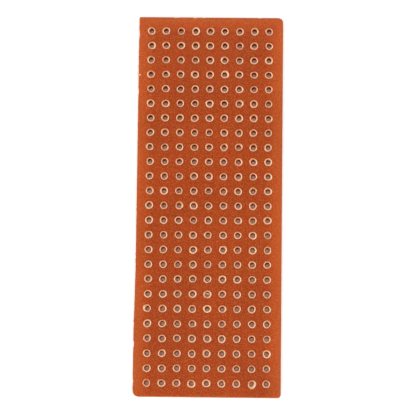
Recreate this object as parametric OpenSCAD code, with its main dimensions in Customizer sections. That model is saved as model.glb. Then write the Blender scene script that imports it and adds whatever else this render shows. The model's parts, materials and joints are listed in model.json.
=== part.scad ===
// Prototype board: a strip of punched paper-phenolic laminate with a square
// grid of holes, and a round copper pad around each hole on the solder side.
//
// The board lies flat with its component side up. X runs across the columns
// of holes, Y runs along the rows towards the top end, and Z points up. The
// origin is under the middle of the board, on the surface it lies on.

/* [Hole grid] */
// Columns of holes, counted from the sawn edge
hole_columns = 9; // [3:1:30]
// Rows of holes, counted from the top end
hole_rows = 25; // [8:1:40]
// Distance between neighbouring holes, both ways
pitch = 2.54; // [2.3:0.01:4]
// Diameter of each punched hole
hole_d = 0.85; // [0.6:0.05:1.1]

/* [Laminate] */
// Thickness of the laminate, without the copper
board_t = 1.6; // [0.8:0.1:3.2]
// Last row of holes to the bottom end
bottom_margin = 2.28; // [1.5:0.01:6]
// First row of holes to the top end
top_margin = 2.43; // [1.5:0.01:6]
// Last column of holes to the factory edge, at the top end
right_margin = 2.41; // [1.5:0.01:6]
// How far the factory edge runs outwards on its way to the bottom end
right_flare = 0.06; // [0:0.01:0.5]

/* [Sawn edge] */
// First column of holes to the sawn edge, at the top end
left_margin = 2.17; // [1.5:0.01:6]
// How far the saw wandered outwards near the bottom end
saw_wander = 0.19; // [0:0.01:0.5]
// Where the saw starts to wander, as a share of the length from the top end
wander_from = 0.675; // [0.1:0.005:0.7]
// Share of the length over which it wanders
wander_over = 0.155; // [0.05:0.005:0.2]

/* [Corners] */
// Radius of the sawn corner at the top end
top_left_r = 0.2; // [0.1:0.05:1.5]
// Radius of the factory corner at the top end
top_right_r = 0.85; // [0.1:0.05:1.5]
// Radius of the factory corner at the bottom end
bottom_right_r = 0.55; // [0.1:0.05:1.5]
// Radius of the sawn corner at the bottom end
bottom_left_r = 0.95; // [0.1:0.05:1.5]

/* [Break-out] */
// Width of the ring that the punch broke out around each hole
breakout_w = 0.24; // [0.1:0.01:0.4]
// Depth of that ring, from the component side down the hole
breakout_depth = 0.2; // [0.1:0.05:0.6]
// Column of the hole that still has a sliver of laminate across it
burr_column = 5; // [1:1:30]
// Row of that hole
burr_row = 19; // [1:1:40]
// Width of the sliver
burr_w = 0.14; // [0.05:0.01:0.3]
// Thickness of the sliver
burr_t = 0.12; // [0.05:0.01:0.3]

/* [Wear] */
// How far down the edge the flakes off the upper arris reach
flake_drop = 0.15; // [0.05:0.01:0.5]

/* [Solder side] */
// Width of each copper pad, from the hole to the pad's rim
pad_ring = 0.5; // [0.2:0.05:0.55]
// Thickness of the copper foil
copper_t = 0.035; // [0.035:0.035:0.105]

/* [Hidden] */
// Nicks through the full thickness of the sawn edge: row of holes that each
// one is level with, its length along the edge and its depth.
NICKS = [
    [1.25, 1.6, 0.11],
    [5.2, 1.3, 0.1],
    [22.4, 1.4, 0.11],
    [24.9, 0.8, 0.08],
];
// Flakes off the upper arris of the top end: column of holes that each one is
// level with, its length along the edge and its depth.
TOP_FLAKES = [
    [2.7, 0.9, 0.16],
    [3.95, 0.7, 0.15],
    [4.55, 0.8, 0.1],
    [8.35, 0.8, 0.1],
];
// The same for the sawn edge, by rows of holes.
SAWN_FLAKES = [
    [1.1, 1, 0.18],
    [1.6, 0.7, 0.12],
    [4.1, 0.7, 0.12],
];
// The same for the factory edge, by rows of holes.
FACTORY_FLAKES = [
    [23.3, 0.7, 0.1],
];

grid_w = (hole_columns - 1) * pitch;
grid_l = (hole_rows - 1) * pitch;
board_w = left_margin + saw_wander + grid_w + right_margin + right_flare;
board_l = top_margin + grid_l + bottom_margin;
left_x = -board_w / 2;
right_x = board_w / 2;
top_y = board_l / 2;
bottom_y = -board_l / 2;
wander_start_y = top_y - wander_from * board_l;
wander_end_y = wander_start_y - wander_over * board_l;
hole_r = hole_d / 2;
breakout_r = hole_r + breakout_w;
pad_r = hole_r + pad_ring;
upper_z = copper_t + board_t;
arc_steps = 10;
round_fn = 48;
// How far a cutting tool reaches past the face that it cuts.
past = 0.5;

function pad_row_name(row) = str("pads_row_", row < 10 ? "0" : "", row);

// Place of a hole by its column and row, where 1 is the first of each.
function column_x(column) = left_x + saw_wander + left_margin + (column - 1) * pitch;
function row_y(row) = top_y - top_margin - (row - 1) * pitch;

// Where the sawn edge and the factory edge run at a height y.
function sawn_x(y) =
    let (share = (wander_start_y - y) / (wander_start_y - wander_end_y))
    left_x + saw_wander * (1 - min(1, max(0, share)));
function factory_x(y) = right_x - right_flare * (y - bottom_y) / board_l;

// A quarter arc around a corner, clockwise from an angle.
function corner_arc(x, y, r, from) =
    [for (i = [0:arc_steps]) let (a = from - 90 * i / arc_steps) [x + r * cos(a), y + r * sin(a)]];

// Radius of the circle whose segment has this chord and this height.
function segment_r(chord, height) = (chord * chord / 4 + height * height) / (2 * height);

outline = concat(
    corner_arc(sawn_x(top_y) + top_left_r, top_y - top_left_r, top_left_r, 180),
    corner_arc(factory_x(top_y) - top_right_r, top_y - top_right_r, top_right_r, 90),
    corner_arc(right_x - bottom_right_r, bottom_y + bottom_right_r, bottom_right_r, 0),
    corner_arc(left_x + bottom_left_r, bottom_y + bottom_left_r, bottom_left_r, -90),
    [[sawn_x(wander_end_y), wander_end_y], [sawn_x(wander_start_y), wander_start_y]]
);

// A nick whose deepest point lies depth inside the edge at x, y. turn points
// it out of the board: 0 for +X, 90 for +Y, 180 for -X.
module nick(x, y, turn, length, depth) {
    r = segment_r(length, depth);
    translate([x, y, 0]) rotate([0, 0, turn]) translate([r - depth, 0, -past])
        cylinder(r = r, h = upper_z + 2 * past, $fn = round_fn);
}

// A flake broken off the upper arris, placed like a nick. A sphere scoops it
// out, from a centre so high above the board that it reaches just flake_drop
// down the edge.
module flake(x, y, turn, length, depth) {
    r = segment_r(length, depth);
    rise = (length * length / 4 - flake_drop * flake_drop) / (2 * flake_drop);
    translate([x, y, upper_z]) rotate([0, 0, turn]) translate([r - depth, 0, rise])
        sphere(r = norm([r, rise]), $fn = round_fn);
}

// What the punch takes out: the hole, and the ring it breaks out at the top.
module punched_hole() {
    rotate_extrude($fn = round_fn) polygon([
        [0, -past],
        [hole_r, -past],
        [hole_r, upper_z - breakout_depth],
        [breakout_r, upper_z],
        [breakout_r, upper_z + past],
        [0, upper_z + past],
    ]);
}

// The sliver that the punch left across a hole, just under the ring. It is
// longer than the hole is wide, so both its ends grow out of the wall.
module burr() {
    translate([0, 0, upper_z - breakout_depth - burr_t / 2])
        cube([hole_d + breakout_w, burr_w, burr_t], center = true);
}

module laminate() {
    color("#b04c24") difference() {
        translate([0, 0, copper_t]) linear_extrude(board_t) polygon(outline);
        for (column = [1:hole_columns], row = [1:hole_rows])
            translate([column_x(column), row_y(row), 0]) difference() {
                punched_hole();
                if (column == burr_column && row == burr_row) burr();
            }
        for (n = NICKS)
            nick(sawn_x(row_y(n[0])), row_y(n[0]), 180, n[1], n[2]);
        for (f = TOP_FLAKES)
            flake(column_x(f[0]), top_y, 90, f[1], f[2]);
        for (f = SAWN_FLAKES)
            flake(sawn_x(row_y(f[0])), row_y(f[0]), 180, f[1], f[2]);
        for (f = FACTORY_FLAKES)
            flake(factory_x(row_y(f[0])), row_y(f[0]), 0, f[1], f[2]);
    }
}

// One row of copper pads on the solder side, each around its hole.
module pads_row(row) {
    color("#c8793f") for (column = [1:hole_columns])
        translate([column_x(column), row_y(row), 0]) difference() {
            cylinder(r = pad_r, h = copper_t, $fn = round_fn);
            translate([0, 0, -past]) cylinder(r = hole_r, h = copper_t + 2 * past, $fn = round_fn);
        }
}

laminate();
for (row = [1:hole_rows])
    pads_row(row);
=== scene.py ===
"""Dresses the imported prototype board: a punched strip of paper-phenolic laminate.

Every length is in metres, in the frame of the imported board: X runs across the
columns of holes, Y along the rows towards the top end, and Z up. The patterns
of the materials are set in millimetres.
"""

import json
import math
import random

import bmesh
import bpy
from mathutils import Matrix, Quaternion, Vector


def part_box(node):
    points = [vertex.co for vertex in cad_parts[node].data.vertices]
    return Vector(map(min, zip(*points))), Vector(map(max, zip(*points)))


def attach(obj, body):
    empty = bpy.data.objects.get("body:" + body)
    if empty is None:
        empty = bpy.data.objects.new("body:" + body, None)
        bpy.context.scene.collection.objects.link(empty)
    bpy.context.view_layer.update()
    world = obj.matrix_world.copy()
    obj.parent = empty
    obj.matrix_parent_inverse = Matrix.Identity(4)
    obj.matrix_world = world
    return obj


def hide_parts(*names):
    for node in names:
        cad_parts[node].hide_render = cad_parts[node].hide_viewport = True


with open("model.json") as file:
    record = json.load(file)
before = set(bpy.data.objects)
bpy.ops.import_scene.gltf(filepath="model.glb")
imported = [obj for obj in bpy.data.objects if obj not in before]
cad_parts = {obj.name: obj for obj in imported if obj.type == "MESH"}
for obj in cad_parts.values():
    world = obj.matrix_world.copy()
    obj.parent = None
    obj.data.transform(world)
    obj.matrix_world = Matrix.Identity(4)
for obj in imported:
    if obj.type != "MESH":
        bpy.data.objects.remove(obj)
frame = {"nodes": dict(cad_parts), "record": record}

bl_info = {
    "name": "Prototype board",
    "version": (1, 0, 0),
    "blender": (4, 5, 0),
    "location": "View3D > Sidebar > Board",
    "description": "Punched laminate, copper pads and stage of a prototype board",
    "category": "Add Mesh",
}

MM = 0.001

# The hole grid, read from the rows of pads, which are in order of their names.
PAD_ROWS = sorted(name for name in frame["nodes"] if name.startswith("pads_row_"))
ROWS = len(PAD_ROWS)
FIRST_LOW, FIRST_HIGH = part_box(PAD_ROWS[0])
LAST_LOW, LAST_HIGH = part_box(PAD_ROWS[-1])
PAD_R = (FIRST_HIGH.y - FIRST_LOW.y) / 2
PITCH = (FIRST_HIGH.y - LAST_HIGH.y) / (ROWS - 1)
COLUMNS = round((FIRST_HIGH.x - FIRST_LOW.x - 2 * PAD_R) / PITCH) + 1
FIRST_X = FIRST_LOW.x + PAD_R
FIRST_Y = FIRST_HIGH.y - PAD_R
HOLE_R = next(m["dims"]["r_mm"] for m in frame["record"]["mounts"] if m["kind"] == "bore") * MM

# The sheet's box, and the mesh that its own edge is read from.
SHEET = frame["nodes"]["laminate"]
SHEET_LOW, SHEET_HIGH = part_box("laminate")
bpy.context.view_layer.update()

# The break-out ring around each hole, as wide and deep as the solid's.
RING_W = 0.24 * MM
RING_DEPTH = 0.2 * MM
# Share of its width where the ring turns from steep to shallow.
RING_BEND = 0.15

# A square cell of the sheet has this many points on each side, and its hole
# has four times as many around it.
CELL_SIDE_POINTS = 4
HOLE_POINTS = 4 * CELL_SIDE_POINTS

# How wide the rings are across, as a share of the solid's: from the least to the most.
RING_SHARES = (0.95, 1.04)
# Rings that stand out in the photograph, by column and row: the same share for
# each, and how far it is off its hole, to +X and to +Y.
ODD_RINGS = {
    (8, 25): (1.09, 0.1 * MM, -0.12 * MM),
    (4, 25): (1.05, 0.0, -0.12 * MM),
    (3, 13): (1.03, 0.06 * MM, 0.06 * MM),
    (1, 20): (1.0, -0.1 * MM, 0.02 * MM),
}
# How far the bend of a ring follows its rim sideways.
BEND_FOLLOWS = 0.6
# How much resin the broken paper keeps, from 0 to 1: the mean of the rings and their
# spread. Then painted shade added on one side of each ring, and painted light that
# makes its left and right paler and its top and bottom more orange.
STAIN_MEAN = 0.38
STAIN_SPREAD = 0.08
SIDE_SHADE = 0.25
LEFT_RIGHT_LIGHT = 0.22
# The side of each ring that gets the painted shade, in degrees from +X towards +Y: mean and spread.
SHADED_SIDE_MEAN = 120
SHADED_SIDE_SPREAD = 20

# About how far apart the saw's tooth marks and the marks of the shear are.
TOOTH_GRAIN = 0.45 * MM
SHEAR_GRAIN = 0.6 * MM
# A face whose normal points up less than this is a wall.
WALL_SLOPE = 0.45

# Thickness of a torn fibre against its width.
STRAND_FLATNESS = 0.5
# The hole with a sliver of laminate left across it, and how deep the sliver lies
# under the foot of the ring.
BURR_HOLE = (5, 19)
SLIVER_DROP = 0.06 * MM
# Place of the splinter on the sawn edge, by rows of holes, and how far its middle
# is off the arris there.
SPLINTER_ROW = 4.0
SPLINTER_OFF = Vector((0.1, 0, -0.02)) * MM
# Heading from +X, length, width and bow of the two.
SLIVER = (math.radians(-10), 1.0 * MM, 0.12 * MM, 0.12 * MM)
SPLINTER = (math.radians(15), 0.7 * MM, 0.26 * MM, -0.18 * MM)
# Tufts of torn paper where the upper arris chipped: on the top end by columns
# of holes and on the sawn edge by rows, each with its length.
TOP_TUFTS = ((2.6, 0.8 * MM), (3.95, 0.75 * MM), (4.45, 0.4 * MM))
SAWN_TUFTS = ((1.03, 0.45 * MM),)
TUFT_WIDTH = 0.24 * MM
TUFT_DROP = 0.025 * MM
# The fibres along the sawn edge, in millimetres: how far each may lie off the arris
# to +X and to +Z, and its length, width and bow, all from the least to the most.
FIBRE_ACROSS = (-0.02, 0.04)
FIBRE_ABOVE = (-0.1, -0.02)
FIBRE_LENGTH = (0.25, 0.7)
FIBRE_WIDTH = (0.05, 0.11)
FIBRE_BOW = (-0.04, 0.04)
# Spread of their headings around that of the edge, in degrees.
FIBRE_SPREAD = 18

# Where the random draws start from.
SEED = 19
# Points closer than this are one, and a face is level if it lies within this of a level.
TIDY = 0.002 * MM


def linear(hex_colour):
    """Turn an sRGB hex colour into linear red, green and blue."""
    parts = [int(hex_colour[i : i + 2], 16) / 255 for i in (1, 3, 5)]
    return [c / 12.92 if c <= 0.04045 else ((c + 0.055) / 1.055) ** 2.4 for c in parts]


def hole_place(column, row):
    """Centre of a hole, where 1 is the first column and the first row."""
    return FIRST_X + (column - 1) * PITCH, FIRST_Y - (row - 1) * PITCH


class BoardSizes(bpy.types.PropertyGroup):
    """Sizes of the board's details, in metres."""

    rim_wander: bpy.props.FloatProperty(
        name="Rim wander",
        description="How far the rim of a break-out ring wanders in and out",
        default=0.035 * MM,
        unit="LENGTH",
    )
    ring_shift: bpy.props.FloatProperty(
        name="Ring shift",
        description="How far a break-out ring may lie off its hole",
        default=0.05 * MM,
        unit="LENGTH",
    )
    ring_dish: bpy.props.FloatProperty(
        name="Ring dish",
        description="How deep the pale outer part of a break-out ring is",
        default=0.08 * MM,
        unit="LENGTH",
    )
    sawn_roughness: bpy.props.FloatProperty(
        name="Sawn roughness",
        description="Height of the tooth marks on the sawn edge",
        default=0.07 * MM,
        unit="LENGTH",
    )
    cut_roughness: bpy.props.FloatProperty(
        name="Cut roughness",
        description="Height of the marks on the three factory edges",
        default=0.02 * MM,
        unit="LENGTH",
    )
    edge_fibres: bpy.props.IntProperty(
        name="Edge fibres",
        description="How many torn fibres lie along the sawn edge",
        default=60,
    )


class BoardColours(bpy.types.PropertyGroup):
    """Colours of the board's finishes."""

    resin: bpy.props.FloatVectorProperty(
        name="Resin",
        description="Pressed face of the laminate between the holes",
        default=linear("#AC4300"),
        subtype="COLOR",
    )
    fleck: bpy.props.FloatVectorProperty(
        name="Fleck",
        description="Paper fibre that shows through thin resin",
        default=linear("#CC6630"),
        subtype="COLOR",
    )
    # Painted glow of the light that gets in at the sides of the sheet.
    margin: bpy.props.FloatVectorProperty(
        name="Margin",
        description="Pressed face near the edges, where light gets into the sheet",
        default=linear("#C85B1A"),
        subtype="COLOR",
    )
    paper: bpy.props.FloatVectorProperty(
        name="Paper",
        description="Bare paper fibre where the punch broke the resin off",
        default=linear("#FFDAB0"),
        subtype="COLOR",
    )
    # Also the colour of the painted shade on one side of each ring.
    stain_and_shade: bpy.props.FloatVectorProperty(
        name="Stain",
        description="Paper fibre that kept some of its resin",
        default=linear("#D67C40"),
        subtype="COLOR",
    )
    copper: bpy.props.FloatVectorProperty(
        name="Copper",
        description="Copper foil under clear lacquer",
        default=linear("#D08A5E"),
        subtype="COLOR",
    )


def sizes():
    """The sizes set in the panel."""
    return bpy.context.scene.board_sizes


def colours():
    """The colours set in the panel."""
    return bpy.context.scene.board_colours


def add_node(tree, kind, inputs=None, **settings):
    """Add a node with its settings. An input is a value, or a socket to link from."""
    made = tree.nodes.new(kind)
    for name, value in settings.items():
        setattr(made, name, value)
    for name, value in (inputs or {}).items():
        if isinstance(value, bpy.types.NodeSocket):
            tree.links.new(value, made.inputs[name])
        else:
            made.inputs[name].default_value = value
    return made


def start_material(name):
    """A new material: its tree, its shader, and its place on the board in millimetres."""
    material = bpy.data.materials.new(name)
    material.use_nodes = True
    tree = material.node_tree
    shader = tree.nodes["Principled BSDF"]
    place = add_node(tree, "ShaderNodeTexCoord").outputs["Object"]
    in_mm = add_node(tree, "ShaderNodeVectorMath", {0: place, "Scale": 1 / MM}, operation="SCALE")
    return material, tree, shader, in_mm.outputs["Vector"]


def select_only(*pieces):
    """Select these objects alone, the first of them active."""
    bpy.ops.object.select_all(action="DESELECT")
    for piece in pieces:
        piece.select_set(True)
    bpy.context.view_layer.objects.active = pieces[0]


def select_where(piece, wanted):
    """In edit mode, select just the vertices whose place is wanted."""
    bpy.ops.mesh.select_mode(type="VERT")
    bpy.ops.mesh.select_all(action="DESELECT")
    sheet = bmesh.from_edit_mesh(piece.data)
    for vertex in sheet.verts:
        vertex.select = wanted(vertex.co)
    sheet.select_flush_mode()
    bmesh.update_edit_mesh(piece.data)


def select_open_edges(piece, height):
    """In edit mode, select the edges at this height that carry one face or none."""
    bpy.ops.mesh.select_mode(type="EDGE")
    bpy.ops.mesh.select_all(action="DESELECT")
    sheet = bmesh.from_edit_mesh(piece.data)
    for edge in sheet.edges:
        level = all(abs(vertex.co.z - height) < TIDY for vertex in edge.verts)
        edge.select = level and len(edge.link_faces) < 2
    bmesh.update_edit_mesh(piece.data)


def select_rims(piece):
    """In edit mode, select the edges where the flat faces of the sheet end."""
    bpy.ops.mesh.select_mode(type="EDGE")
    bpy.ops.mesh.select_all(action="DESELECT")
    sheet = bmesh.from_edit_mesh(piece.data)
    for edge in sheet.edges:
        flat = [abs(face.normal.z) > 1 - TIDY for face in edge.link_faces]
        edge.select = flat[0] != flat[1]
    bmesh.update_edit_mesh(piece.data)


def give_material(piece, material, wanted):
    """Give this material to the faces whose middle and normal are wanted."""
    piece.data.materials.append(material)
    index = len(piece.data.materials) - 1
    for face in piece.data.polygons:
        if wanted(face.center, face.normal):
            face.material_index = index


def shrink_onto_sheet(piece):
    """Draw a piece's points onto the nearest part of the solid sheet."""
    wrap = piece.modifiers.new("onto_sheet", "SHRINKWRAP")
    wrap.wrap_method = "NEAREST_SURFACEPOINT"
    wrap.target = SHEET
    select_only(piece)
    bpy.ops.object.modifier_apply(modifier=wrap.name)


def roughen(piece, name, height, grain, group):
    """Push the points of a vertex group in and out by a cloud pattern of this grain."""
    clouds = bpy.data.textures.new(name, "CLOUDS")
    clouds.noise_scale = grain
    clouds.noise_depth = 2
    push = piece.modifiers.new(name, "DISPLACE")
    push.texture = clouds
    push.texture_coords = "LOCAL"
    push.strength = height
    push.mid_level = 0.5
    push.vertex_group = group
    select_only(piece)
    bpy.ops.object.modifier_apply(modifier=push.name)


def let_light_in(shader, reach):
    """Resin-soaked paper glows: red light travels this far in it, and blue an eighth of that."""
    shader.inputs["Subsurface Weight"].default_value = 1.0
    shader.inputs["Subsurface Radius"].default_value = (1.0, 0.3, 0.12)
    shader.inputs["Subsurface Scale"].default_value = reach


def laminate_material():
    """Paper-phenolic laminate, squeezed between polished plates.

    A closed, satin orange-brown face. The paper's formation shows through the
    resin as faint clouds. The strips outside the holes are lighter: a painted glow of
    the light that gets in at the sides. Their outer half millimetre turns a paler
    brown, apart from the one at the bottom end. Around each ring the face is darker:
    painted shade over the copper pad.
    """
    material, tree, shader, place = start_material("paper_phenolic_pressed_face")
    # Formation of the paper: flocks of fibre about half a millimetre across.
    flocks = add_node(
        tree,
        "ShaderNodeTexNoise",
        {"Vector": place, "Scale": 1 / 0.4, "Detail": 4, "Roughness": 0.75},
    )
    # Single fibres are 0.03 mm thick. They are drawn at 0.2 mm, where they show.
    fibres = add_node(tree, "ShaderNodeTexNoise", {"Vector": place, "Scale": 1 / 0.2, "Detail": 2})
    # Slow change in how much resin the paper took up, over about 9 mm.
    uptake = add_node(tree, "ShaderNodeTexNoise", {"Vector": place, "Scale": 1 / 9, "Detail": 1})
    edge = edge_distance(tree, place, bottom_extra=2)
    # Painted glow: light that gets into the sheet at its sides is painted into the face's colour up to 2.8
    # mm from them.
    painted_glow = add_node(tree, "ShaderNodeMapRange", {"Value": edge, "From Min": 2.8, "From Max": 0.3})
    # Within 0.75 mm of the arris the face turns a paler brown.
    arris_strip = add_node(
        tree,
        "ShaderNodeMapRange",
        {"Value": edge, "From Min": 0.75, "From Max": 0.2, "To Max": 0.8},
        interpolation_type="SMOOTHSTEP",
    )
    # Fibres show where the resin over them is thin.
    bare = add_node(
        tree,
        "ShaderNodeMapRange",
        {"Value": fibres.outputs["Fac"], "From Min": 0.45, "From Max": 0.7, "To Max": 0.65},
    )
    shade = (*colours().resin, 1)
    for share, colour in (
        (painted_glow, colours().margin),
        (arris_strip, linear("#B0602A")),
        (bare, colours().fleck),
    ):
        mixed = add_node(
            tree,
            "ShaderNodeMix",
            {"Factor": share.outputs["Result"], "A": shade, "B": (*colour, 1)},
            data_type="RGBA",
        )
        shade = mixed.outputs["Result"]
    grain = add_node(
        tree,
        "ShaderNodeMapRange",
        {"Value": flocks.outputs["Fac"], "From Min": 0.3, "From Max": 0.7, "To Min": 0.84, "To Max": 1.17},
    )
    drift = add_node(
        tree,
        "ShaderNodeMapRange",
        {"Value": uptake.outputs["Fac"], "From Min": 0.3, "From Max": 0.7, "To Min": 0.95, "To Max": 1.05},
    )
    # Painted shade: the face is darker for a quarter of a millimetre around each ring, over the copper pad
    # that keeps light from shining through the sheet.
    pad_shade = add_node(
        tree,
        "ShaderNodeMapRange",
        {"Value": hole_distance(tree, place), "From Min": 0.72, "From Max": 0.98, "To Min": 0.88},
        interpolation_type="SMOOTHSTEP",
    )
    for share in (grain, drift, pad_shade):
        shaded = add_node(
            tree,
            "ShaderNodeVectorMath",
            {0: shade, "Scale": share.outputs["Result"]},
            operation="SCALE",
        )
        shade = shaded.outputs["Vector"]
    tree.links.new(shade, shader.inputs["Base Color"])
    gloss = add_node(
        tree,
        "ShaderNodeMapRange",
        {"Value": flocks.outputs["Fac"], "From Min": 0.3, "From Max": 0.7, "To Min": 0.2, "To Max": 0.28},
    )
    tree.links.new(gloss.outputs["Result"], shader.inputs["Roughness"])
    shader.inputs["IOR"].default_value = 1.5
    shader.inputs["Specular IOR Level"].default_value = 0.3
    let_light_in(shader, 0.7 * MM)
    bump = add_node(
        tree,
        "ShaderNodeBump",
        {"Height": flocks.outputs["Fac"], "Strength": 0.25, "Distance": 0.01 * MM},
    )
    tree.links.new(bump.outputs["Normal"], shader.inputs["Normal"])
    return material


def edge_distance(tree, place, bottom_extra=0):
    """Distance in millimetres from a place to the nearest side of the sheet's box.

    The bottom end counts as farther away than it is by the extra.
    """
    half = (SHEET_HIGH - SHEET_LOW) / 2 / MM
    shift = Vector((0, bottom_extra / 2, 0))
    off = place
    for operation, inputs in (
        ("ADD", {1: shift}),
        ("ABSOLUTE", {}),
        ("MULTIPLY_ADD", {1: (-1, -1, 0), 2: half + shift}),
    ):
        step = add_node(tree, "ShaderNodeVectorMath", {0: off, **inputs}, operation=operation)
        off = step.outputs["Vector"]
    gaps = add_node(tree, "ShaderNodeSeparateXYZ", {"Vector": off}).outputs
    least = add_node(tree, "ShaderNodeMath", {0: gaps["X"], 1: gaps["Y"]}, operation="MINIMUM")
    return least.outputs["Value"]


def hole_distance(tree, place):
    """Distance in millimetres from a place to the axis of the nearest hole."""
    pitch = PITCH / MM
    last_hole = (-FIRST_X / MM, ((ROWS - 1) * PITCH - FIRST_Y) / MM, 0)
    far_corner = ((COLUMNS - 1) * pitch, (ROWS - 1) * pitch, 0)
    from_hole = add_node(
        tree,
        "ShaderNodeVectorMath",
        {0: place, 1: (1, 1, 0), 2: last_hole},
        operation="MULTIPLY_ADD",
    ).outputs["Vector"]
    nearest = from_hole
    for operation, value in (
        ("ADD", (pitch / 2, pitch / 2, 0)),
        ("SNAP", (pitch, pitch, pitch)),
        ("MAXIMUM", (0, 0, 0)),
        ("MINIMUM", far_corner),
    ):
        step = add_node(tree, "ShaderNodeVectorMath", {0: nearest, 1: value}, operation=operation)
        nearest = step.outputs["Vector"]
    gap = add_node(tree, "ShaderNodeVectorMath", {0: from_hole, 1: nearest}, operation="DISTANCE")
    return gap.outputs["Value"]


def broken_paper_material():
    """Paper fibre laid bare where the punch or a knock broke the resin off.

    Dull, cream to peach, and fibrous at about a tenth of a millimetre. Its
    attribute says where it kept some resin and stays orange, and adds painted shade
    and light by the side of each ring.
    """
    material, tree, shader, place = start_material("broken_paper_fibre")
    fibre = add_node(tree, "ShaderNodeTexNoise", {"Vector": place, "Scale": 1 / 0.12, "Detail": 3})
    patches = add_node(tree, "ShaderNodeTexNoise", {"Vector": place, "Scale": 1 / 0.9, "Detail": 2})
    stain_and_shade = add_node(tree, "ShaderNodeAttribute", attribute_name="stain_and_shade")
    patchy = add_node(
        tree,
        "ShaderNodeMapRange",
        {"Value": patches.outputs["Fac"], "From Min": 0.45, "From Max": 0.75, "To Max": 0.35},
    )
    shade = (*colours().paper, 1)
    for share, colour in (
        (stain_and_shade.outputs["Fac"], colours().stain_and_shade),
        (patchy.outputs["Result"], linear("#DE955C")),
    ):
        mixed = add_node(
            tree,
            "ShaderNodeMix",
            {"Factor": share, "A": shade, "B": (*colour, 1)},
            data_type="RGBA",
        )
        shade = mixed.outputs["Result"]
    grain = add_node(
        tree,
        "ShaderNodeMapRange",
        {"Value": fibre.outputs["Fac"], "From Min": 0.3, "From Max": 0.7, "To Min": 0.88, "To Max": 1.06},
    )
    grained = add_node(
        tree,
        "ShaderNodeVectorMath",
        {0: shade, "Scale": grain.outputs["Result"]},
        operation="SCALE",
    )
    tree.links.new(grained.outputs["Vector"], shader.inputs["Base Color"])
    shader.inputs["Roughness"].default_value = 1.0
    shader.inputs["IOR"].default_value = 1.5
    shader.inputs["Specular IOR Level"].default_value = 0.2
    bump = add_node(
        tree,
        "ShaderNodeBump",
        {"Height": fibre.outputs["Fac"], "Strength": 0.6, "Distance": 0.03 * MM},
    )
    tree.links.new(bump.outputs["Normal"], shader.inputs["Normal"])
    return material


def cut_edge_material(name, face_hex, ply_hex, streak_x):
    """Cut edge of paper-phenolic laminate, which shows its plies of paper.

    The plies are about 0.13 mm thick. They are drawn about as thick as they
    are, with streaks along Z where a blade or a punch dragged through them.
    """
    material, tree, shader, place = start_material(name)
    axes = add_node(tree, "ShaderNodeSeparateXYZ", {"Vector": place})
    wavy = add_node(tree, "ShaderNodeTexNoise", {"Vector": place, "Scale": 1 / 1.5, "Detail": 2})
    level = add_node(
        tree,
        "ShaderNodeMath",
        {0: wavy.outputs["Fac"], 1: 0.12, 2: axes.outputs["Z"]},
        operation="MULTIPLY_ADD",
    )
    turns = add_node(
        tree,
        "ShaderNodeMath",
        {0: level.outputs["Value"], 1: 2 * math.pi / 0.13},
        operation="MULTIPLY",
    )
    ply = add_node(tree, "ShaderNodeMath", {0: turns.outputs["Value"]}, operation="SINE")
    stretched = add_node(
        tree,
        "ShaderNodeVectorMath",
        {0: place, 1: (1 / streak_x, 1 / streak_x, 0.6)},
        operation="MULTIPLY",
    )
    streaks = add_node(
        tree,
        "ShaderNodeTexNoise",
        {"Vector": stretched.outputs["Vector"], "Scale": 1, "Detail": 3},
    )
    rough = add_node(
        tree,
        "ShaderNodeMath",
        {0: ply.outputs["Value"], 1: 0.22, 2: streaks.outputs["Fac"]},
        operation="MULTIPLY_ADD",
    )
    share = add_node(
        tree,
        "ShaderNodeMapRange",
        {"Value": rough.outputs["Value"], "From Min": 0.2, "From Max": 0.8},
    )
    shade = add_node(
        tree,
        "ShaderNodeMix",
        {"Factor": share.outputs["Result"], "A": (*linear(face_hex), 1), "B": (*linear(ply_hex), 1)},
        data_type="RGBA",
    )
    tree.links.new(shade.outputs["Result"], shader.inputs["Base Color"])
    shader.inputs["Roughness"].default_value = 1.0
    shader.inputs["IOR"].default_value = 1.5
    shader.inputs["Specular IOR Level"].default_value = 0.1
    let_light_in(shader, 0.6 * MM)
    bump = add_node(
        tree,
        "ShaderNodeBump",
        {"Height": rough.outputs["Value"], "Strength": 0.5, "Distance": 0.02 * MM},
    )
    tree.links.new(bump.outputs["Normal"], shader.inputs["Normal"])
    return material


def copper_material():
    """Rolled copper foil, brushed and sealed with clear lacquer.

    Warm metal with fine brush lines along the board and a few duller blooms
    where the lacquer let air in.
    """
    material, tree, shader, place = start_material("lacquered_copper_foil")
    # Brush lines are about 0.05 mm apart and several millimetres long.
    lines = add_node(
        tree,
        "ShaderNodeVectorMath",
        {0: place, 1: (1 / 0.05, 1 / 3, 1)},
        operation="MULTIPLY",
    )
    brushed = add_node(
        tree,
        "ShaderNodeTexNoise",
        {"Vector": lines.outputs["Vector"], "Scale": 1, "Detail": 2},
    )
    bloom = add_node(tree, "ShaderNodeTexNoise", {"Vector": place, "Scale": 1 / 2.5, "Detail": 3})
    dulled = add_node(
        tree,
        "ShaderNodeMapRange",
        {"Value": bloom.outputs["Fac"], "From Min": 0.5, "From Max": 0.75, "To Max": 0.6},
    )
    shade = add_node(
        tree,
        "ShaderNodeMix",
        {
            "Factor": dulled.outputs["Result"],
            "A": (*colours().copper, 1),
            "B": (*linear("#9A5A3C"), 1),
        },
        data_type="RGBA",
    )
    tree.links.new(shade.outputs["Result"], shader.inputs["Base Color"])
    shader.inputs["Metallic"].default_value = 1.0
    gloss = add_node(
        tree,
        "ShaderNodeMapRange",
        {"Value": brushed.outputs["Fac"], "From Min": 0.3, "From Max": 0.7, "To Min": 0.25, "To Max": 0.4},
    )
    tree.links.new(gloss.outputs["Result"], shader.inputs["Roughness"])
    shader.inputs["Coat Weight"].default_value = 0.6
    shader.inputs["Coat Roughness"].default_value = 0.15
    bump = add_node(
        tree,
        "ShaderNodeBump",
        {"Height": brushed.outputs["Fac"], "Strength": 0.15, "Distance": 0.002 * MM},
    )
    tree.links.new(bump.outputs["Normal"], shader.inputs["Normal"])
    return material


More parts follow.
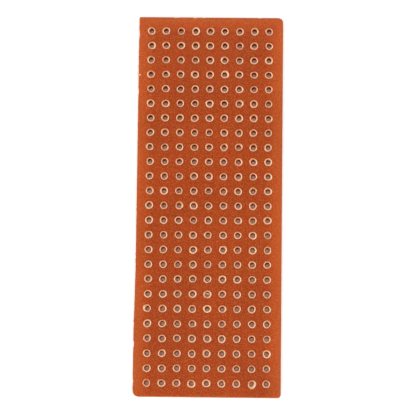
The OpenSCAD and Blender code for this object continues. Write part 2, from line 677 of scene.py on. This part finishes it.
def punched_square(hole_r, height):
    """A square of sheet with a round hole in its middle, a thousand times too large."""
    bpy.ops.object.select_all(action="DESELECT")
    bpy.ops.mesh.primitive_circle_add(vertices=HOLE_POINTS, radius=hole_r, fill_type="NOTHING")
    rim = bpy.context.object
    bpy.ops.object.select_all(action="DESELECT")
    bpy.ops.mesh.primitive_grid_add(
        x_subdivisions=CELL_SIDE_POINTS,
        y_subdivisions=CELL_SIDE_POINTS,
        size=PITCH / MM,
    )
    square = bpy.context.object
    bpy.ops.object.mode_set(mode="EDIT")
    within = PITCH / MM / 2 - TIDY
    select_where(square, lambda co: max(abs(co.x), abs(co.y)) < within)
    bpy.ops.mesh.delete(type="VERT")
    bpy.ops.object.mode_set(mode="OBJECT")
    select_only(square, rim)
    bpy.ops.object.join()
    bpy.ops.object.mode_set(mode="EDIT")
    bpy.ops.mesh.select_all(action="SELECT")
    bpy.ops.mesh.bridge_edge_loops()
    bpy.ops.mesh.select_all(action="SELECT")
    bpy.ops.transform.translate(value=(0, 0, height))
    bpy.ops.object.mode_set(mode="OBJECT")
    return square


def model_cell():
    """One hole with its ring, in a square of sheet that reaches half way to the next.

    It is modelled a thousand times too large, where loops bridge exactly.
    """
    low, high = SHEET_LOW.z / MM, SHEET_HIGH.z / MM
    hole_r, ring_w = HOLE_R / MM, RING_W / MM
    cell = punched_square(hole_r + ring_w, high)
    bpy.ops.object.mode_set(mode="EDIT")
    select_where(cell, lambda co: math.hypot(co.x, co.y) < hole_r + ring_w + TIDY)
    steps = [
        (high - sizes().ring_dish / MM, hole_r + ring_w * RING_BEND),
        (high - RING_DEPTH / MM, hole_r),
        (low, hole_r),
    ]
    z, radius = high, hole_r + ring_w
    for next_z, next_r in steps:
        bpy.ops.mesh.extrude_edges_move(TRANSFORM_OT_translate={"value": (0, 0, next_z - z)})
        grow = next_r / radius
        bpy.ops.transform.resize(value=(grow, grow, 1), center_override=(0, 0, next_z))
        z, radius = next_z, next_r
    bpy.ops.object.mode_set(mode="OBJECT")
    lower = punched_square(hole_r, low)
    select_only(cell, lower)
    bpy.ops.object.join()
    bpy.ops.object.mode_set(mode="EDIT")
    bpy.ops.mesh.select_all(action="SELECT")
    bpy.ops.mesh.remove_doubles(threshold=TIDY / MM)
    bpy.ops.object.mode_set(mode="OBJECT")
    cell.scale = (MM, MM, MM)
    bpy.ops.object.transform_apply(scale=True)
    return cell


class Wander:
    """A seeded, smooth wander around a ring, by angle: waves that go 2, 3 and 5 times around."""

    def __init__(self, dice, reach):
        self.waves = []
        for turns in (2, 3, 5):
            height = reach * dice.uniform(0.2, 1) / turns
            self.waves.append((turns, height, dice.uniform(0, 2 * math.pi)))

    def at(self, angle):
        """How far it wanders at this angle."""
        return sum(height * math.cos(turns * angle + start) for turns, height, start in self.waves)


def break_out(mesh, dice, column, row):
    """Make one cell's ring as ragged as the punch leaves it, and note its stain and painted shade.

    Each ring gets a random amount of resin. On top of that the attribute holds
    painted shade, more orange on the upper left of each hole, and painted light,
    paler on its left and right and more orange at its top and bottom.
    """
    stain_and_shade = mesh.attributes.new("stain_and_shade", "FLOAT", "POINT")
    stained = dice.gauss(STAIN_MEAN, STAIN_SPREAD)
    shaded_side = math.radians(dice.gauss(SHADED_SIDE_MEAN, SHADED_SIDE_SPREAD))
    plain = (dice.uniform(*RING_SHARES), 0, 0)
    share, shift_x, shift_y = ODD_RINGS.get((column, row), plain)
    shift = Vector((shift_x + dice.gauss(0, 1) * sizes().ring_shift / 2, shift_y, 0))
    shift.y += dice.gauss(0, 1) * sizes().ring_shift / 2
    rim = Wander(dice, 2 * sizes().rim_wander)
    slope = Wander(dice, 1.5 * sizes().rim_wander)
    for vertex in mesh.vertices:
        co = vertex.co
        reach = math.hypot(co.x, co.y)
        angle = math.atan2(co.y, co.x)
        out = Vector((math.cos(angle), math.sin(angle), 0))
        jitter = dice.uniform(-1, 1) * sizes().rim_wander / 3
        # Painted shade on one side of the hole and painted light on its left and right, the same on every
        # ring.
        torn = SIDE_SHADE * math.cos(angle - shaded_side) - LEFT_RIGHT_LIGHT * math.cos(2 * angle)
        stain_and_shade.data[vertex.index].value = stained + torn
        above = co.z > SHEET_LOW.z + TIDY
        if abs(reach - HOLE_R - RING_W) < TIDY:
            co += out * (reach * (share - 1) + rim.at(angle) + jitter) + shift
        elif above and HOLE_R + TIDY < reach < HOLE_R + RING_W:
            bent = BEND_FOLLOWS * rim.at(angle) + (1 - BEND_FOLLOWS) * slope.at(angle)
            co += out * bent + shift * BEND_FOLLOWS
            co.z -= slope.at(angle + 1) / 2 + jitter
        elif above and reach < HOLE_R + TIDY:
            co.z += slope.at(angle) + 2 * jitter


def model_grid():
    """Every cell of the sheet, each a copy of one with a mesh of its own."""
    dice = random.Random(SEED)
    cell = model_cell()
    cells = []
    for row in range(1, ROWS + 1):
        for column in range(1, COLUMNS + 1):
            copy = cell.copy()
            copy.data = cell.data.copy()
            bpy.context.collection.objects.link(copy)
            break_out(copy.data, dice, column, row)
            copy.location = (*hole_place(column, row), 0)
            cells.append(copy)
    bpy.data.objects.remove(cell)
    select_only(*cells)
    bpy.ops.object.transform_apply(location=True)
    bpy.ops.object.join()
    grid = bpy.context.object
    bpy.ops.object.mode_set(mode="EDIT")
    bpy.ops.mesh.select_all(action="SELECT")
    bpy.ops.mesh.remove_doubles(threshold=TIDY)
    bpy.ops.object.mode_set(mode="OBJECT")
    return grid


def model_edge():
    """The edge of the sheet: four walls drawn onto the solid's edge, then roughened.

    They start a gap outside the solid's box, in cells as wide as the step.
    """
    step = 0.2 * MM
    levels = 8
    gap = 0.01 * MM
    middle = (SHEET_LOW + SHEET_HIGH) / 2
    half = (SHEET_HIGH - SHEET_LOW) / 2 + Vector((gap, gap, -TIDY))
    walls = []
    for turn in range(4):
        length, away = (half.x, half.y) if turn % 2 == 0 else (half.y, half.x)
        bpy.ops.object.select_all(action="DESELECT")
        bpy.ops.mesh.primitive_grid_add(
            x_subdivisions=round(2 * length / step),
            y_subdivisions=levels,
            size=2,
        )
        wall = bpy.context.object
        wall.scale = (length, half.z, 1)
        wall.rotation_euler = (math.pi / 2, 0, turn * math.pi / 2)
        side = Quaternion((0, 0, 1), turn * math.pi / 2) @ Vector((0, -away, 0))
        wall.location = middle + side
        bpy.ops.object.transform_apply(location=True, rotation=True, scale=True)
        walls.append(wall)
    select_only(*walls)
    bpy.ops.object.join()
    edge = bpy.context.object
    bpy.ops.object.mode_set(mode="EDIT")
    bpy.ops.mesh.select_all(action="SELECT")
    bpy.ops.mesh.remove_doubles(threshold=TIDY)
    bpy.ops.object.mode_set(mode="OBJECT")
    mark = {name: edge.vertex_groups.new(name=name) for name in ("sawn", "cut", "upper", "lower")}
    for vertex in edge.data.vertices:
        co = vertex.co
        mark["sawn" if co.x < SHEET_LOW.x else "cut"].add([vertex.index], 1, "REPLACE")
        if co.z > SHEET_HIGH.z - 2 * TIDY:
            mark["upper"].add([vertex.index], 1, "REPLACE")
        if co.z < SHEET_LOW.z + 2 * TIDY:
            mark["lower"].add([vertex.index], 1, "REPLACE")
    shrink_onto_sheet(edge)
    roughen(edge, "saw_teeth", sizes().sawn_roughness, TOOTH_GRAIN, "sawn")
    roughen(edge, "shear_marks", sizes().cut_roughness, SHEAR_GRAIN, "cut")
    # The rims go back to the levels of the sheet's faces.
    upper, lower = (edge.vertex_groups[name].index for name in ("upper", "lower"))
    for vertex in edge.data.vertices:
        groups = {g.group for g in vertex.groups}
        if upper in groups:
            vertex.co.z = SHEET_HIGH.z
        if lower in groups:
            vertex.co.z = SHEET_LOW.z
    return edge


class BOARD_OT_laminate(bpy.types.Operator):
    """Model the punched sheet and give its faces, rings, holes and edges their finish"""

    bl_idname = "board.laminate"
    bl_label = "Laminate"

    def execute(self, context):
        grid = model_grid()
        edge = model_edge()
        select_only(grid, edge)
        bpy.ops.object.join()
        sheet = bpy.context.object
        sheet.name = "laminate_sheet"
        bpy.ops.object.mode_set(mode="EDIT")
        for height in (SHEET_LOW.z, SHEET_HIGH.z):
            select_open_edges(sheet, height)
            bpy.ops.mesh.fill(use_beauty=True)
        bpy.ops.mesh.select_all(action="SELECT")
        bpy.ops.mesh.normals_make_consistent(inside=False)
        select_rims(sheet)
        bpy.ops.mesh.mark_sharp()
        bpy.ops.object.mode_set(mode="OBJECT")
        bpy.ops.object.shade_smooth_by_angle(angle=math.radians(40))
        dress_sheet(sheet)
        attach(sheet, "root")
        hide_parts("laminate")
        return {"FINISHED"}


def dress_sheet(sheet):
    """Give each part of the sheet its finish."""
    grid_low = (FIRST_X - PITCH / 2, FIRST_Y - (ROWS - 0.5) * PITCH)
    grid_high = (FIRST_X + (COLUMNS - 0.5) * PITCH, FIRST_Y + PITCH / 2)

    def in_grid(place):
        return all(grid_low[i] < place[i] < grid_high[i] for i in range(2))

    def is_level(place, normal):
        return place.z > SHEET_HIGH.z - TIDY or place.z < SHEET_LOW.z + TIDY

    def is_broken(place, normal):
        return not is_level(place, normal) and normal.z > WALL_SLOPE

    def is_wall(place, normal):
        return not is_level(place, normal) and normal.z <= WALL_SLOPE

    give_material(sheet, laminate_material(), is_level)
    give_material(sheet, broken_paper_material(), is_broken)
    # The hole wall is darker than the sawn edge: partly the brown of a punched cut, partly painted shade
    # of the deep hole.
    give_material(
        sheet,
        cut_edge_material("shaded_punched_hole_wall", "#8E2D08", "#A43A10", 0.12),
        lambda place, normal: is_wall(place, normal) and in_grid(place),
    )
    give_material(
        sheet,
        cut_edge_material("sawn_laminate_edge", "#B06A3C", "#DDB083", 0.35),
        lambda place, normal: is_wall(place, normal) and not in_grid(place),
    )


def model_strand():
    """One torn fibre: a six-sided strand a metre long along X, which thins towards its ends."""
    # The place of each section along X, and its girth.
    sections = ((-0.5, 0.4), (-0.35, 0.8), (-0.1, 1.0), (0.15, 0.95), (0.35, 0.7), (0.5, 0.2))
    x, girth = sections[0]
    bpy.ops.object.select_all(action="DESELECT")
    bpy.ops.mesh.primitive_circle_add(
        vertices=6,
        radius=girth / 2,
        fill_type="NGON",
        location=(x, 0, 0),
        rotation=(0, math.pi / 2, 0),
    )
    strand = bpy.context.object
    bpy.ops.object.transform_apply(location=True, rotation=True)
    bpy.ops.object.mode_set(mode="EDIT")
    bpy.ops.mesh.select_all(action="SELECT")
    for next_x, next_girth in sections[1:]:
        bpy.ops.mesh.extrude_region_move(TRANSFORM_OT_translate={"value": (next_x - x, 0, 0)})
        grow = next_girth / girth
        bpy.ops.transform.resize(value=(1, grow, grow), center_override=(next_x, 0, 0))
        x, girth = next_x, next_girth
    bpy.ops.mesh.select_all(action="SELECT")
    bpy.ops.mesh.normals_make_consistent(inside=False)
    bpy.ops.object.mode_set(mode="OBJECT")
    return strand


def lay_strand(strand, place, heading, length, width, bow):
    """A copy of the strand at its place, headed along an angle from +X and bowed to its left."""
    copy = strand.copy()
    copy.data = strand.data.copy()
    bpy.context.collection.objects.link(copy)
    turn = Quaternion((0, 0, 1), heading)
    for vertex in copy.data.vertices:
        x, y, z = vertex.co
        bent = y * width + bow * (1 - 4 * x * x)
        vertex.co = turn @ Vector((x * length, bent, z * width * STRAND_FLATNESS)) + place
    return copy


def arris(x, y):
    """The point of the sheet's upper arris that is nearest to a place beside the board."""
    sheet = bpy.data.objects["laminate_sheet"]
    return sheet.closest_point_on_mesh((x, y, SHEET_HIGH.z))[1]


def tuft_places():
    """Where each tuft lies, its heading and its length."""
    for column, length in TOP_TUFTS:
        yield arris(hole_place(column, 1)[0], SHEET_HIGH.y), 0, length
    for row, length in SAWN_TUFTS:
        yield arris(SHEET_LOW.x, hole_place(1, row)[1]), math.pi / 2, length


class BOARD_OT_fibres(bpy.types.Operator):
    """Model the torn fibres: the sliver across one hole, and those of the edges"""

    bl_idname = "board.fibres"
    bl_label = "Torn fibres"

    def execute(self, context):
        dice = random.Random(SEED + 1)
        strand = model_strand()
        hole = Vector((*hole_place(*BURR_HOLE), SHEET_HIGH.z - RING_DEPTH - SLIVER_DROP))
        chip = arris(SHEET_LOW.x, hole_place(1, SPLINTER_ROW)[1]) + SPLINTER_OFF
        strands = [lay_strand(strand, hole, *SLIVER), lay_strand(strand, chip, *SPLINTER)]
        for place, heading, length in tuft_places():
            place.z -= TUFT_DROP
            strands.append(lay_strand(strand, place, heading, length, TUFT_WIDTH, 0))
        for _ in range(sizes().edge_fibres):
            y = dice.uniform(SHEET_LOW.y + PITCH / 2, SHEET_HIGH.y - PITCH / 2)
            off = Vector((dice.uniform(*FIBRE_ACROSS), 0, dice.uniform(*FIBRE_ABOVE))) * MM
            place = arris(SHEET_LOW.x, y) + off
            heading = math.radians(90 + dice.gauss(0, FIBRE_SPREAD))
            length = dice.uniform(*FIBRE_LENGTH) * MM
            width = dice.uniform(*FIBRE_WIDTH) * MM
            bow = dice.uniform(*FIBRE_BOW) * MM
            strands.append(lay_strand(strand, place, heading, length, width, bow))
        bpy.data.objects.remove(strand)
        select_only(*strands)
        bpy.ops.object.join()
        fibres = bpy.context.object
        fibres.name = "torn_fibres"
        bpy.ops.object.shade_smooth()
        fibres.data.materials.append(bpy.data.materials["broken_paper_fibre"])
        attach(fibres, "root")
        return {"FINISHED"}


class BOARD_OT_pads(bpy.types.Operator):
    """Give the copper pads on the solder side their finish"""

    bl_idname = "board.pads"
    bl_label = "Copper pads"

    def execute(self, context):
        copper = copper_material()
        for name in PAD_ROWS:
            slots = frame["nodes"][name].data.materials
            slots.clear()
            slots.append(copper)
        return {"FINISHED"}


class BOARD_OT_stage(bpy.types.Operator):
    """Add the pale floor, the soft studio light and the camera"""

    bl_idname = "board.stage"
    bl_label = "Stage"

    def execute(self, context):
        add_floor()
        add_light()
        add_camera()
        context.scene.view_settings.view_transform = "Standard"
        return {"FINISHED"}


# How wide the floor is in metres, and how far it lies under the pads.
FLOOR_SIZE = 6
FLOOR_DROP = 0.005 * MM
# For each socket of the floor's paper, its colour beside the board, under the middle
# of a hole and under the rim of a hole. Under the board the emission is a painted glow,
# and the browner colours under the rim are painted shade.
PAPER_LIGHT_AND_SHADE = (
    ("Base Color", "#FAFAFA", "#FAFAFA", "#EDBA9F"),
    ("Emission Color", "#8C8C8C", "#7E4C3E", "#4A1000"),
)


def add_floor():
    """A wide sheet of white paper, a hair under the lower faces of the pads."""
    bpy.ops.object.select_all(action="DESELECT")
    bpy.ops.mesh.primitive_plane_add(size=FLOOR_SIZE, location=(0, 0, -FLOOR_DROP))
    bpy.ops.object.transform_apply(location=True, rotation=False, scale=False)
    floor = bpy.context.object
    floor.name = "table"
    material, tree, shader, place = start_material("white_paper_sheet")
    shader.inputs["Roughness"].default_value = 1.0
    # Beside the board the paper looks whiter and its shadows paler. Under the board its
    # upper face is painted with a warm glow of the laminate, and with painted shade,
    # browner near the wall of each hole.
    lower_face = add_node(tree, "ShaderNodeNewGeometry").outputs["Backfacing"]
    upper_face = add_node(tree, "ShaderNodeMath", {0: 1.0, 1: lower_face}, operation="SUBTRACT")
    covered = add_node(
        tree,
        "ShaderNodeMapRange",
        {"Value": edge_distance(tree, place), "To Max": upper_face.outputs["Value"]},
    )
    hole_wall_shade = add_node(
        tree,
        "ShaderNodeMapRange",
        {"Value": hole_distance(tree, place), "From Min": 0.15, "From Max": 0.35},
    )
    for socket, beside, middle, rim in PAPER_LIGHT_AND_SHADE:
        under = add_node(
            tree,
            "ShaderNodeMix",
            {"Factor": hole_wall_shade.outputs["Result"], "A": (*linear(middle), 1), "B": (*linear(rim), 1)},
            data_type="RGBA",
        )
        shown = add_node(
            tree,
            "ShaderNodeMix",
            {"Factor": covered.outputs["Result"], "A": (*linear(beside), 1), "B": under.outputs["Result"]},
            data_type="RGBA",
        )
        tree.links.new(shown.outputs["Result"], shader.inputs[socket])
    # Only a look at the paper, straight or by reflection, meets the emission: it lights nothing.
    path = add_node(tree, "ShaderNodeLightPath")
    seen = path.outputs["Is Camera Ray"]
    for ray in ("Is Glossy Ray", "Is Transmission Ray"):
        seen = add_node(
            tree,
            "ShaderNodeMath",
            {0: seen, 1: path.outputs[ray]},
            operation="MAXIMUM",
        ).outputs["Value"]
    tree.links.new(seen, shader.inputs["Emission Strength"])
    floor.data.materials.append(material)


# Soft boxes around the board: name, direction in degrees from +X towards +Y,
# height in degrees, and watts.
SOFT_BOXES = (
    ("left_box", 215, 62, 4.5),
    ("right_box", 350, 62, 3.9),
    ("back_box", 95, 54, 2.0),
    ("front_box", 275, 58, 1.6),
)
# How far away they stand and how wide they are, in metres.
BOX_DISTANCE = 1.0
BOX_SIZE = 0.7
# Strength of the white light from all around.
ROOM_LIGHT = 0.16


def add_light():
    """Soft boxes around the board, none of them where its face mirrors the camera."""
    world = bpy.data.worlds.new("dim_room")
    world.use_nodes = True
    sky = world.node_tree.nodes["Background"]
    sky.inputs["Color"].default_value = (1, 1, 1, 1)
    sky.inputs["Strength"].default_value = ROOM_LIGHT
    bpy.context.scene.world = world
    for name, compass, height, watts in SOFT_BOXES:
        lamp = bpy.data.lights.new(name, "AREA")
        lamp.size = BOX_SIZE
        lamp.energy = watts
        box = bpy.data.objects.new(name, lamp)
        flat = math.cos(math.radians(height)) * BOX_DISTANCE
        box.location = (
            flat * math.cos(math.radians(compass)),
            flat * math.sin(math.radians(compass)),
            math.sin(math.radians(height)) * BOX_DISTANCE,
        )
        box.rotation_euler = (-box.location).to_track_quat("-Z", "Y").to_euler()
        bpy.context.collection.objects.link(box)


# The camera that fits the photograph's view: its place, the point on the sheet that
# it aims at, its lens and sensor in millimetres, and its turn around its own axis.
CAMERA_PLACE = Vector((7.625, -61.445, 430.2)) * MM
CAMERA_AIM = Vector((-0.126, -0.474, 1.635)) * MM
LENS = 218.7
SENSOR = 36
CAMERA_TURN = math.radians(-0.68)


def add_camera():
    """The camera, above the board and a little towards its lower end."""
    lens = bpy.data.cameras.new("camera")
    lens.sensor_width = SENSOR
    lens.lens = LENS
    camera = bpy.data.objects.new("camera", lens)
    camera.location = CAMERA_PLACE
    ahead = (CAMERA_AIM - camera.location).normalized()
    right = ahead.cross(Vector((0, 1, 0))).normalized()
    right.rotate(Quaternion(ahead, CAMERA_TURN))
    up = right.cross(ahead)
    camera.rotation_euler = Matrix((right, up, -ahead)).transposed().to_euler()
    bpy.context.collection.objects.link(camera)
    bpy.context.scene.camera = camera


class BOARD_PT_panel(bpy.types.Panel):
    """Shows the board's sizes, colours and steps in the sidebar"""

    bl_label = "Prototype board"
    bl_space_type = "VIEW_3D"
    bl_region_type = "UI"
    bl_category = "Board"

    def draw(self, context):
        for group in (context.scene.board_sizes, context.scene.board_colours):
            for name in group.__annotations__:
                self.layout.prop(group, name)
        for step in STEPS:
            self.layout.operator(step.bl_idname)


STEPS = (BOARD_OT_laminate, BOARD_OT_fibres, BOARD_OT_pads, BOARD_OT_stage)
CLASSES = (BoardSizes, BoardColours, *STEPS, BOARD_PT_panel)


def register():
    """Make the sizes, colours, steps and panel known to Blender."""
    for cls in CLASSES:
        bpy.utils.register_class(cls)
    bpy.types.Scene.board_sizes = bpy.props.PointerProperty(type=BoardSizes)
    bpy.types.Scene.board_colours = bpy.props.PointerProperty(type=BoardColours)


def unregister():
    """Take them all away again."""
    del bpy.types.Scene.board_colours
    del bpy.types.Scene.board_sizes
    for cls in reversed(CLASSES):
        bpy.utils.unregister_class(cls)


def main():
    """Build the dressed board and its stage."""
    register()
    bpy.ops.board.laminate()
    bpy.ops.board.fibres()
    bpy.ops.board.pads()
    bpy.ops.board.stage()


if __name__ == "__main__":
    main()
